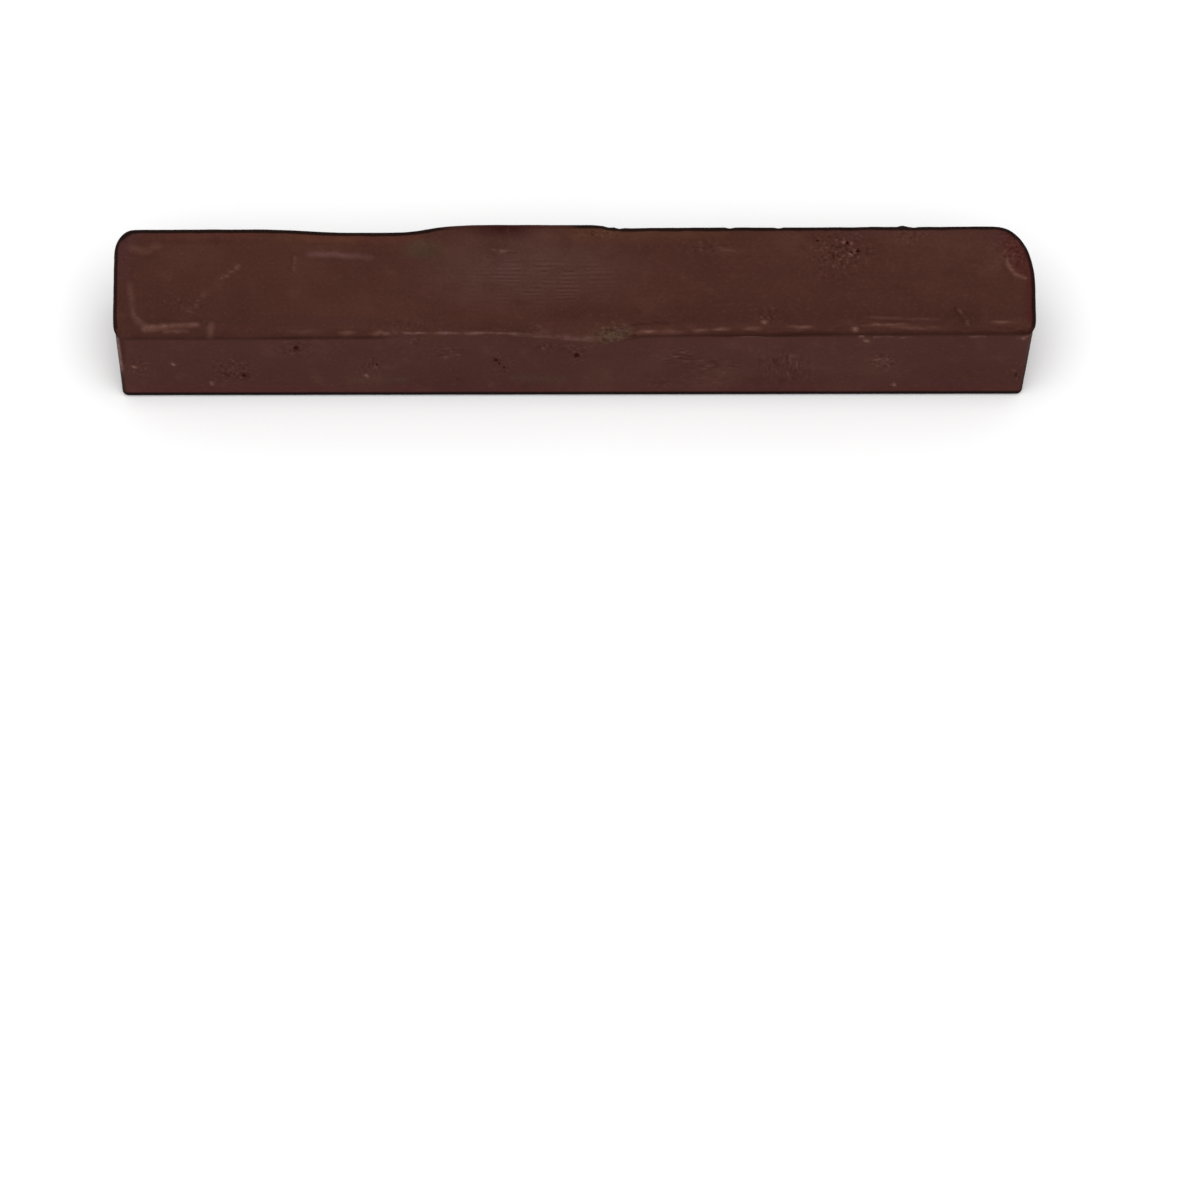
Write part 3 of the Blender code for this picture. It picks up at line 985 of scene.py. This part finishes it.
stain_with(PLUM, top_marks(
    Mark("left end", 1.3, 0.6, ((-39.6, 5.2), (-40.3, 3.8), (-40.4, 0.5))),
    Mark("behind the right", 1.2, 0.4, ((24.0, 5.6), (34.0, 5.6))),
    Mark("left of the right corner", 1.2, 0.4, ((36.6, 5.2), (38.0, 4.4))),
))
stain_with(PLUM, front_marks(
    Mark("low, left of the middle", 1.3, 0.5, ((-16.0, 1.3), (-6.0, 1.2))),
    Mark("low, right of the middle", 1.0, 0.4, ((8.0, 1.6), (20.0, 1.4))),
    Mark("low, at the right end", 1.2, 0.4, ((26.0, 2.0), (38.0, 2.2))),
))
stain_with(GREEN_GREY, front_marks(
    Mark("low, in the middle", 1.0, 0.35, ((-5.0, 2.8), (-1.0, 2.7))),
    Mark("low, on the left", 0.8, 0.30, ((-20.0, 2.6), (-15.0, 2.6))),
))
stain_with(MAROON, front_marks(Mark("beside the left corner", 0.35, 0.5, ((-40.3, 8.8), (-40.15, 5.2)))))
stain_with(FOOT_RED, (1 - on_top) * ramp(z, 0.3, 1.0) * ramp(z, 2.4, 1.2) * 0.4)
layer = stick.data.attributes.new(name="stain", type="FLOAT_COLOR", domain="POINT")
layer.data.foreach_set("color", stain.ravel())
print("stained points:", int((stain[:, 3] > 0.05).sum()))

# %% [markdown]
# A finish is a sum of small effects, and a hundred Math nodes wired by hand are hard to read.
# This class wraps one output of a node, so that sums can be written as Python sums.
# Its node method adds any other kind of node.

# %% A wire that can be added and multiplied
class Wire:
    """One output of a shader node. Sums on wires add Math nodes."""

    def __init__(self, socket):
        self.socket = socket

    def node(self, kind, settings, sockets, output=None):
        """Adds a node: its settings first, then the values or wires of its sockets."""
        tree = self.socket.id_data
        made = tree.nodes.new(kind)
        for name, value in settings.items():
            setattr(made, name, value)
        for name, value in sockets.items():
            socket = Wire.find(made.inputs, name)
            if isinstance(value, Wire):
                tree.links.new(value.socket, socket)
            else:
                socket.default_value = value
        return Wire(Wire.find(made.outputs, output))

    @staticmethod
    def find(sockets, name):
        """A socket by its number, or the first one in use with that name."""
        if isinstance(name, int):
            return sockets[name]
        return next(socket for socket in sockets if socket.enabled and name in (None, socket.name))

    def math(self, operation, other=0.0):
        return self.node("ShaderNodeMath", {"operation": operation}, {0: self, 1: other})

    def __add__(self, other):
        return self.math("ADD", other)

    def __sub__(self, other):
        return self.math("SUBTRACT", other)

    def __rsub__(self, other):
        return self * -1 + other

    def __mul__(self, other):
        return self.math("MULTIPLY", other)

    __radd__ = __add__
    __rmul__ = __mul__


# %% [markdown]
# A mask is a wire that is 1 where something shows and 0 where it doesn't. Some masks are the painted layers.
# Others follow the shape: where the cap ends, which way the surface faces, how far it is from the floor.
# They read Object coordinates in millimetres, so they stay put from every side.

# %% Helpers for masks
material = bpy.data.materials.new("filler_wax")
material.use_nodes = True
shader = material.node_tree.nodes["Principled BSDF"]
coordinates = material.node_tree.nodes.new("ShaderNodeTexCoord")
metres = Wire(coordinates.outputs["Object"])
place = metres.node("ShaderNodeVectorMath", {"operation": "SCALE"}, {0: metres, "Scale": 1 / MM})
facing = Wire(coordinates.outputs["Normal"])


def parts(vector):
    """The three wires of a vector."""
    return [vector.node("ShaderNodeSeparateXYZ", {}, {0: vector}, name) for name in "XYZ"]


def step(value, start, end):
    """0 before the start, 1 after the end, and smooth between them. The end may be the smaller one."""
    settings = {"interpolation_type": "SMOOTHSTEP"}
    return value.node("ShaderNodeMapRange", settings, {"Value": value, "From Min": start, "From Max": end})


def noise(size, detail=2.0, stretched=(1, 1, 1), offset=0.0):
    """A cloud of values around 0.5, with blots of about the given size in mm."""
    sockets = {0: place, 1: stretched, 2: (offset, offset, offset)}
    moved = place.node("ShaderNodeVectorMath", {"operation": "MULTIPLY_ADD"}, sockets)
    return place.node("ShaderNodeTexNoise", {}, {"Vector": moved, "Scale": 1 / size, "Detail": detail})


def span(value, start, end, soft):
    """1 between a start and an end, fading over a soft margin inside each."""
    return step(value, start, start + soft) * step(value, end, end - soft)


def most(first, *others):
    """The strongest of several masks."""
    for other in others:
        first = first.math("MAXIMUM", other)
    return first


def painted(name, output="Fac"):
    """A layer of paint, or its colour or alpha."""
    return place.node("ShaderNodeAttribute", {"attribute_name": name}, {}, output)


def count_nodes(made):
    """Prints how many nodes the finish has after a step."""
    print("nodes after", made + ":", len(material.node_tree.nodes))


x_mm, y_mm, z_mm = parts(place)
facing_x, facing_y, facing_z = parts(facing)
count_nodes("the coordinates")

# %% Masks for the cap, the lip and the edges
DIP_MM = DIP_MIDDLE / MM
front_side = step(y_mm, -3.0, -5.0)
before_dip = step(x_mm, DIP_MM - DIP_LEFT / MM, DIP_MM)
after_dip = step(x_mm, DIP_MM + DIP_RIGHT / MM, DIP_MM)
in_dip = before_dip * after_dip
in_break = span(x_mm, -18.0, 5.6, 2.4)
above = z_mm - MOUTH_MM - x_mm * math.tan(MOUTH_TILT) + front_side * in_dip * (DIP_DEPTH / MM)
cap = step(above, -0.04, 0.06)
wall = 1 - cap
# front_turn and crease place painted shade on the front shoulder of the lip and in the crease under its
# overhang.
front_turn = cap * step(facing_y, -0.10, -0.42)
crease = front_side * step((above - 0.02).math("ABSOLUTE"), 0.32, 0.12) * (1 - in_break)
# arris places pale scuffs along the broken edge, partly painted highlights.
arris = in_break * front_side * step(facing_y, -0.10, -0.30) * step(facing_z, 0.15, 0.45)
arris = arris * span(above, 0.22, 0.74, 0.14)
count_nodes("the masks of the cap")

# %% Masks for the outermost edges
# Most of these masks place painted shade where the lip and the corners turn away from the light, and a
# painted shadow along the foot.
RIGHT_MM = half_length / MM
right_edge = RIGHT_MM - (MOUTH_MM - z_mm) * math.tan(RIGHT_END_DRAFT)
left_edge = (MOUTH_MM - z_mm) * math.tan(WALL_DRAFT) - RIGHT_MM
right_corner = wall * step(facing_y, -0.08, -0.35) * step(right_edge - x_mm, 0.40, 0.20)
left_corner = wall * step(facing_y, -0.05, -0.45) * step(x_mm - left_edge, 0.58, 0.25)
left_foot = left_corner * step(z_mm, 4.4, 3.0)
back_turn = cap * step(facing_y, 0.05, 0.14) * step(facing_y, 0.88, 0.78) * step(y_mm, 3.0, 5.0)
outward = facing_x * x_mm.math("SIGN")
lip_turn = outward - step(x_mm, 1.0, -1.0) * 0.17
end_turn = cap * step(lip_turn, 0.10, 0.23) * step(outward, 1.0, 0.9) * step(facing_y, -0.38, -0.12)
end_turn = end_turn * step(x_mm.math("ABSOLUTE"), 37.0, 39.0)
corner_turn = cap * step(facing_x, -0.52, -0.70) * step(facing_y, -0.78, -0.60)
overflow = span(x_mm, -12.2, 0.6, 1.6) * step(y_mm, 3.0, 5.0)
# Painted shadow along the foot, where the bar meets the floor, strongest on the front.
foot = step(z_mm, 0.84, 0.58) * (0.55 + 0.4 * step(facing_y, 0.1, -0.3))
count_nodes("the masks of the edges")

# %% [markdown]
# The wax is one dark red-brown, tinted with earth pigments. Up close it is cloudy and finely grained.
# Rubbed edges are paler, because scuffed wax scatters light, and some pale rim marks are painted highlights.
# Creases, the foot and the edges turned from the light get painted shade, and the pits get painted shade and
# dirt.

# %% Colour of the wax
def tint(base, shade, share):
    """One colour with another laid over it."""
    sockets = {"Factor": share, "A": base, "B": shade}
    return place.node("ShaderNodeMix", {"data_type": "RGBA"}, sockets)


WALL_BROWN = paint(68, 39, 34)
LIGHT_BROWN = paint(86, 55, 47)
DARK_BROWN = paint(52, 28, 22)

slow = noise(9.0, detail=2.0)
patchy = noise(2.2, detail=3.0, offset=13.0)
fine = noise(0.30, detail=2.0, offset=31.0)
streaky = noise(0.55, detail=2.0, stretched=(0.10, 1, 1), offset=5.0)

colour = tint(CAP_BROWN, WALL_BROWN, wall)
stain_share = painted("stain", "Alpha") * (0.65 + 0.35 * step(patchy, 0.38, 0.58))
colour = tint(colour, painted("stain", "Color"), stain_share)
colour = tint(colour, LIGHT_BROWN, step(slow, 0.50, 0.80) * 0.35)
colour = tint(colour, DARK_BROWN, step(slow, 0.50, 0.25) * 0.25)
colour = tint(colour, LIGHT_BROWN, step(patchy, 0.55, 0.80) * 0.3)
colour = tint(colour, DARK_BROWN, step(patchy, 0.45, 0.20) * 0.3)
colour = tint(colour, LIGHT_BROWN, step(fine, 0.52, 0.85) * 0.45)
colour = tint(colour, DARK_BROWN, step(fine, 0.48, 0.15) * 0.45)
colour = tint(colour, DARK_BROWN, cap * step(streaky, 0.46, 0.25) * 0.15)
count_nodes("the cloudy wax")

# %% [markdown]
# The middle of the face was dragged across as it set, which left fine lines that waver along the bar.
# A sine of y draws them, bent by two noises. The painted patches get their grain here too.

# %% Drag lines and speckled patches
wander = noise(4.0, detail=1.0, stretched=(0.35, 1, 1), offset=3.0)
grain = step(noise(0.35, detail=3.0, stretched=(0.5, 1, 1), offset=57.0), 0.35, 0.65)
soft_grain = 0.5 + 0.5 * grain
waver = noise(1.4, detail=1.0, stretched=(0.25, 1, 1), offset=19.0)
drag_lines = (y_mm * 13.0 + wander * 9.0 + waver * 6.0).math("SINE") * painted("dragged")
drag_lines = drag_lines * step(patchy, 0.36, 0.56)
colour = tint(colour, LIGHT_BROWN, step(drag_lines, 0.1, 0.9) * soft_grain * 0.6)
colour = tint(colour, DARK_BROWN, step(drag_lines, -0.1, -0.9) * soft_grain * 0.7)

froth_grain = noise(0.34, detail=1.0, offset=83.0)
tick_grain = noise(0.28, detail=1.0, stretched=(1, 1, 0.35), offset=29.0)
ripple_grain = noise(0.32, detail=1.0, stretched=(0.35, 1, 1), offset=47.0)
froth, ticks, ripples = painted("froth"), painted("ticks"), painted("ripples")
PALE = paint(128, 92, 82)
PALE_PINK = paint(124, 94, 92)
LINE_BROWN = paint(42, 17, 11)
for patch, patch_grain in ((froth, froth_grain), (ticks, tick_grain), (ripples, ripple_grain)):
    colour = tint(colour, PALE, patch * step(patch_grain, 0.54, 0.78) * 0.30)
    colour = tint(colour, LINE_BROWN, patch * step(patch_grain, 0.47, 0.27) * 0.85)
count_nodes("the patches")

# %% [markdown]
# The dark lines on the front shoulder of the lip and in the crease under it are painted shade, laid under the
# scuffs. The painted shade and dirt in the pits, and the painted shade on the other edges and along the foot,
# are laid last and cover the rest.

# %% Painted shade along the lip, then the pale scuffs and painted highlights
# The first colour below is the painted shade of the outermost edges and the foot.
EDGE_SHADE_BROWN = paint(17, 8, 6)
PIT_BROWN = paint(46, 13, 11)
right_band = step(x_mm, 7.5, 10.5) * 0.55 + step(x_mm, 17.0, 21.0) * 0.35
left_band = span(x_mm, -41.5, -14.5, 2.0) * 0.4 + span(x_mm, -40.5, -29.5, 2.0) * 0.25
uneven = 0.55 + 0.45 * step(slow, 0.40, 0.60)
# Painted shade on the front shoulder of the lip and in the crease under it.
colour = tint(colour, LINE_BROWN, front_turn * most(right_band, left_band) * uneven)
colour = tint(colour, LINE_BROWN, crease * uneven * 0.7)
colour = tint(colour, LINE_BROWN, painted("grooved") * (0.4 + 0.6 * grain))

# Pale scuffs, partly painted highlights on the rim and its broken edge, and the painted glints beside the top
# pits.
scuffs_and_highlights = most(painted("rubs_and_highlights") * soft_grain, painted("scratched") * grain)
edge_scuffs_and_highlights = arris * most(painted("edge_dashes") * 0.5, grain * 0.2) * (1 - 0.4 * in_dip)
scuffs_and_highlights = most(scuffs_and_highlights, painted("rim_dashes") * soft_grain, painted("specks_and_glints") * 0.7)
colour = tint(colour, PALE, scuffs_and_highlights)
colour = tint(colour, PALE_PINK, edge_scuffs_and_highlights * (0.35 + 0.65 * grain))
colour = tint(colour, PALE_PINK, left_corner * span(z_mm, 2.8, 10.2, 2.0) * (0.25 + 0.55 * grain))
count_nodes("the scuffs")

# %% Painted shade and dirt in the pits, painted shade on the outermost edges
colour = tint(colour, PIT_BROWN, painted("pits"))
# Painted shade on the edges that turn away from the light, reddish on the overflow, and a painted shadow
# along the foot.
colour = tint(colour, MAROON, back_turn * overflow * 0.35)
lip_shade = most(back_turn * (1 - overflow) * 0.9, end_turn * 0.8, corner_turn * 0.8)
edges_and_foot_shade = most(lip_shade, right_corner * 0.55, left_foot * 0.6, foot)
colour = tint(colour, EDGE_SHADE_BROWN, edges_and_foot_shade)
count_nodes("the dirt")

# %% [markdown]
# Hard wax is satin where it cooled in the air and duller where it took the skin of the mould.
# Scuffs are duller still. Relief finer than the mesh comes from a Bump node: grain, scratches and patches.

# %% Roughness and relief
SATIN = 0.48
WAX_SPECULAR = 0.02
roughness = SATIN + wall * 0.10 + (fine - 0.5) * 0.25 + scuffs_and_highlights * 0.2
# Heights in millimetres
height = fine * 0.010 + patchy * 0.030 + drag_lines * 0.006 - painted("scratched") * 0.02
height = height + froth * froth_grain * 0.04 + ticks * tick_grain * 0.04 + ripples * ripple_grain * 0.04
relief = place.node("ShaderNodeBump", {}, {"Strength": 1.0, "Distance": MM, "Height": height}, "Normal")

links = material.node_tree.links
links.new(colour.socket, shader.inputs["Base Color"])
links.new(roughness.socket, shader.inputs["Roughness"])
links.new(relief.socket, shader.inputs["Normal"])
shader.inputs["Specular IOR Level"].default_value = WAX_SPECULAR
stick.data.materials.clear()
stick.data.materials.append(material)
count_nodes("the gloss and relief")

# %% [markdown]
# The bar lies on a plain pale floor under one very wide soft light from above and in front.
# A sun with a wide angle does that: it lights the floor evenly to its edge and leaves only a faint shadow.
# An even white room fills the sides that the light doesn't reach.

# %% Lay the floor and light it
FLOOR_SIZE = 12
FLOOR_GAP = 0.02 * MM
FLOOR_WHITE = (0.93, 0.93, 0.93, 1)
FLOOR_ROUGHNESS = 0.9
bpy.ops.object.select_all(action="DESELECT")
bpy.ops.mesh.primitive_plane_add(size=FLOOR_SIZE, location=(0, 0, -FLOOR_GAP))
floor = bpy.context.object
floor.name = "pale_floor"
floor_paint = bpy.data.materials.new("pale_floor")
floor_paint.use_nodes = True
floor_shader = floor_paint.node_tree.nodes["Principled BSDF"]
floor_shader.inputs["Base Color"].default_value = FLOOR_WHITE
floor_shader.inputs["Roughness"].default_value = FLOOR_ROUGHNESS
floor_shader.inputs["Specular IOR Level"].default_value = 0.0
floor.data.materials.append(floor_paint)

SUN_TILT = math.radians(26)
SUN_SPREAD = math.radians(70)
SUN_STRENGTH = 2.2
ROOM_WHITE = (1, 1, 1, 1)
ROOM_STRENGTH = 0.56
bpy.ops.object.light_add(type="SUN", location=(0, -1, 2), rotation=(SUN_TILT, 0, 0))
sun = bpy.context.object
sun.data.energy = SUN_STRENGTH
sun.data.angle = SUN_SPREAD

room = bpy.data.worlds.new("soft_room")
room.use_nodes = True
background = room.node_tree.nodes["Background"]
background.inputs["Color"].default_value = ROOM_WHITE
background.inputs["Strength"].default_value = ROOM_STRENGTH
bpy.context.scene.world = room
bpy.context.scene.view_settings.view_transform = "Standard"
print("strength of the sun and of the room:", SUN_STRENGTH, ROOM_STRENGTH)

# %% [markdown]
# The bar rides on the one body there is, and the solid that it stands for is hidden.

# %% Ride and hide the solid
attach(stick, "root")
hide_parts("burn_in_stick")
